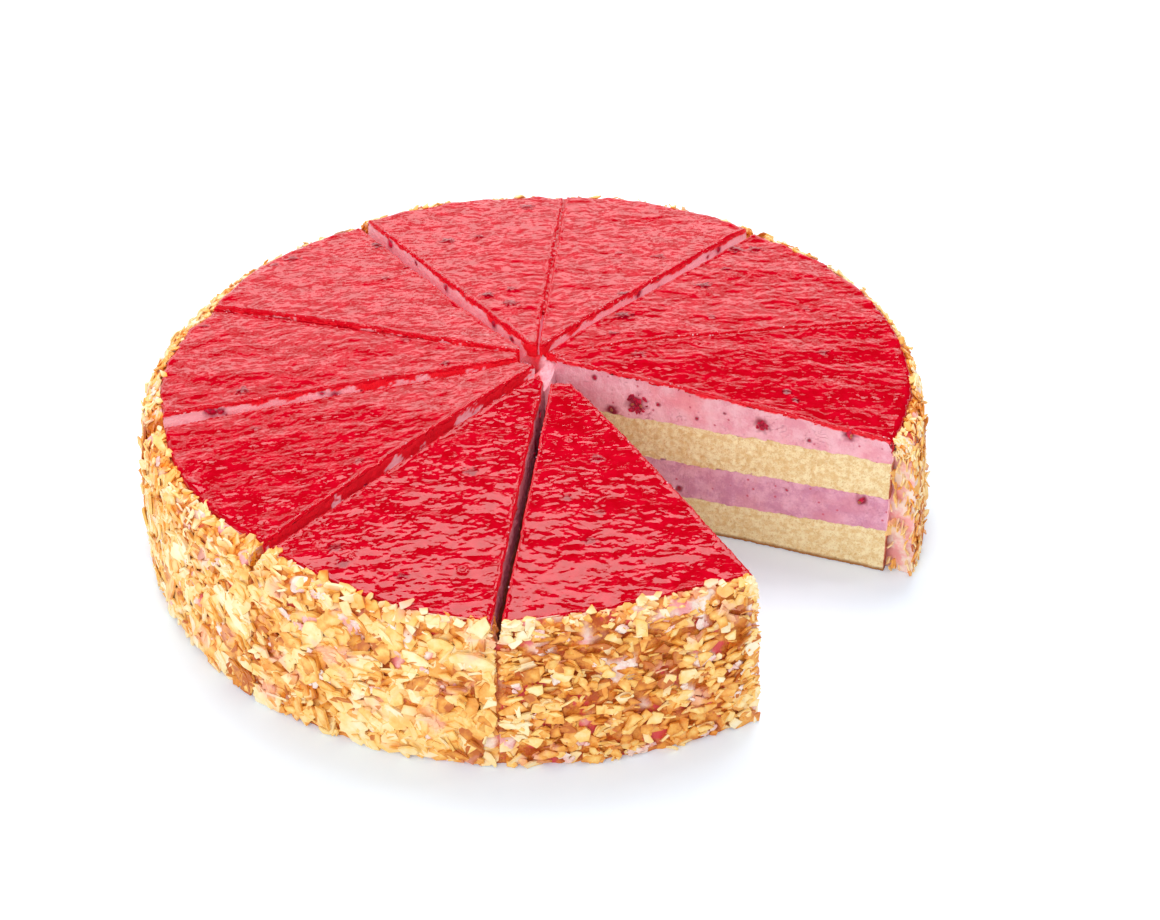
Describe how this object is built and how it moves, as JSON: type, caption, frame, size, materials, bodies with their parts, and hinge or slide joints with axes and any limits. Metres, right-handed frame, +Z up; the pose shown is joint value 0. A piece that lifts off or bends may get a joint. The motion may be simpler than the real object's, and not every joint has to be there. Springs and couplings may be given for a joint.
{
  "type": "raspberry torte",
  "caption": "Round raspberry torte with red glaze, sponge and mousse layers and an almond coat, cut into slices that stand in a ring round an empty wedge.",
  "frame": {"origin": "on the table, in the middle of the torte, which is the centre of the box's base", "axes": "+Z up; the empty wedge opens between +X and -Y; the picture was taken from -Y"},
  "size_m": [0.2892, 0.2892, 0.0667],
  "materials": {
    "base_sponge": "matt yellow-beige sponge with fine open pores and a browned underside",
    "lower_mousse": "soft mauve-pink raspberry mousse, matt, with small dark fruit specks",
    "upper_sponge": "matt yellow-beige sponge with fine open pores",
    "upper_mousse": "light pink raspberry mousse, matt, with dark red fruit pieces",
    "glaze": "clear deep red raspberry jelly, glossy and finely rippled",
    "almond_coat": "toasted sliced almonds, satin, golden to brown, on pale pink cream",
    "raspberry": "cut raspberry, dark red and moist, with pale seeds"
  },
  "bodies": {
    "root": {"slice_1_base_sponge": "base_sponge", "slice_1_lower_mousse": "lower_mousse", "slice_1_upper_sponge": "upper_sponge", "slice_1_upper_mousse": "upper_mousse", "slice_1_glaze": "glaze", "slice_1_almond_coat": "almond_coat", "slice_2_base_sponge": "base_sponge", "slice_2_lower_mousse": "lower_mousse", "slice_2_upper_sponge": "upper_sponge", "slice_2_upper_mousse": "upper_mousse", "slice_2_glaze": "glaze", "slice_2_almond_coat": "almond_coat", "slice_3_base_sponge": "base_sponge", "slice_3_lower_mousse": "lower_mousse", "slice_3_upper_sponge": "upper_sponge", "slice_3_upper_mousse": "upper_mousse", "slice_3_glaze": "glaze", "slice_3_almond_coat": "almond_coat", "slice_4_base_sponge": "base_sponge", "slice_4_lower_mousse": "lower_mousse", "slice_4_upper_sponge": "upper_sponge", "slice_4_upper_mousse": "upper_mousse", "slice_4_glaze": "glaze", "slice_4_almond_coat": "almond_coat", "slice_5_base_sponge": "base_sponge", "slice_5_lower_mousse": "lower_mousse", "slice_5_upper_sponge": "upper_sponge", "slice_5_upper_mousse": "upper_mousse", "slice_5_glaze": "glaze", "slice_5_almond_coat": "almond_coat", "slice_6_base_sponge": "base_sponge", "slice_6_lower_mousse": "lower_mousse", "slice_6_upper_sponge": "upper_sponge", "slice_6_upper_mousse": "upper_mousse", "slice_6_glaze": "glaze", "slice_6_almond_coat": "almond_coat", "slice_7_base_sponge": "base_sponge", "slice_7_lower_mousse": "lower_mousse", "slice_7_upper_sponge": "upper_sponge", "slice_7_upper_mousse": "upper_mousse", "slice_7_glaze": "glaze", "slice_7_almond_coat": "almond_coat", "slice_8_base_sponge": "base_sponge", "slice_8_lower_mousse": "lower_mousse", "slice_8_upper_sponge": "upper_sponge", "slice_8_upper_mousse": "upper_mousse", "slice_8_glaze": "glaze", "slice_8_almond_coat": "almond_coat", "slice_9_base_sponge": "base_sponge", "slice_9_lower_mousse": "lower_mousse", "slice_9_upper_sponge": "upper_sponge", "slice_9_upper_mousse": "upper_mousse", "slice_9_glaze": "glaze", "slice_9_almond_coat": "almond_coat", "slice_4_raspberry_1": "raspberry", "slice_4_raspberry_2": "raspberry"}
  },
  "joints": []
}
